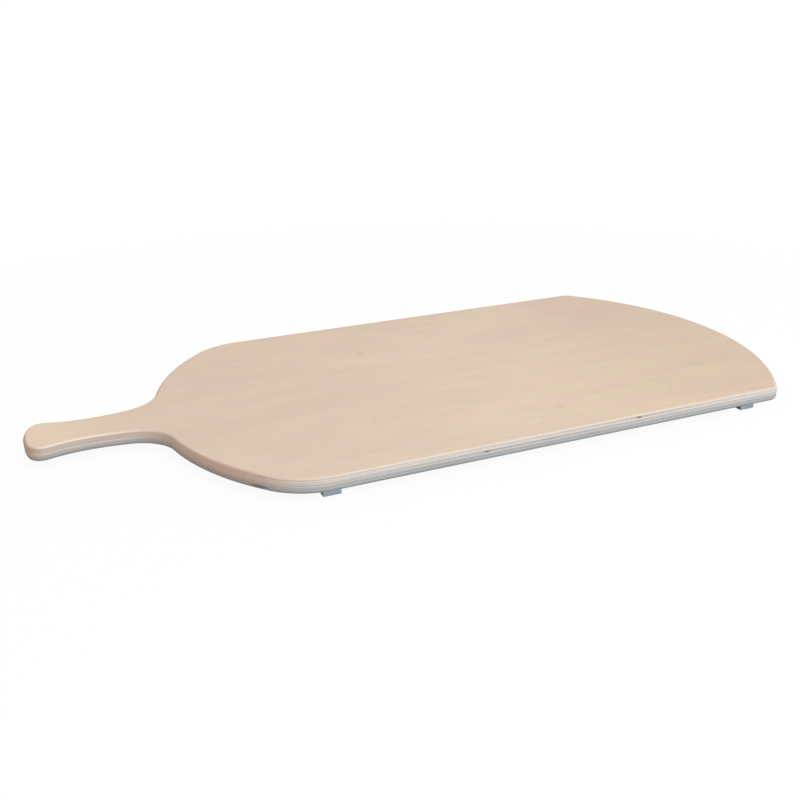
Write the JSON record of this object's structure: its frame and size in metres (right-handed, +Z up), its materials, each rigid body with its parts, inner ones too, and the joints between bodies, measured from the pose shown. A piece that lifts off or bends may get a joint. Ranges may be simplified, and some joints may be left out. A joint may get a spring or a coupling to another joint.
{
  "type": "pizza board",
  "caption": "Long paddle-shaped plywood serving board for pizza, with a waisted handle, a bowed far end and a rounded edge, standing on cross bars.",
  "frame": {"origin": "under the middle of the board's box, on the surface that the bars stand on", "axes": "+X along the board from the handle to the bowed end, +Y across it, +Z up out of the serving face"},
  "size_m": [0.665, 0.34, 0.02],
  "materials": {
    "birch_face": "sanded pale birch, bare and even, grain along the board",
    "birch_long_ply": "birch veneer laid along the board, pale on the long edges",
    "birch_cross_ply": "birch veneer laid across the board, darker end grain on the long edges",
    "bar_aluminium": "mill finish, dull",
    "screw_steel": "zinc-plated, satin"
  },
  "bodies": {
    "root": {"face_veneer": "birch_face", "core_ply_1": "birch_cross_ply", "core_ply_2": "birch_long_ply", "core_ply_3": "birch_cross_ply", "core_ply_4": "birch_long_ply", "core_ply_5": "birch_cross_ply", "core_ply_6": "birch_long_ply", "core_ply_7": "birch_cross_ply", "back_veneer": "birch_face", "handle_end_bar": "bar_aluminium", "bowed_end_bar": "bar_aluminium", "handle_end_screw_right": "screw_steel", "handle_end_screw_middle": "screw_steel", "handle_end_screw_left": "screw_steel", "bowed_end_screw_right": "screw_steel", "bowed_end_screw_middle": "screw_steel", "bowed_end_screw_left": "screw_steel"}
  },
  "joints": []
}
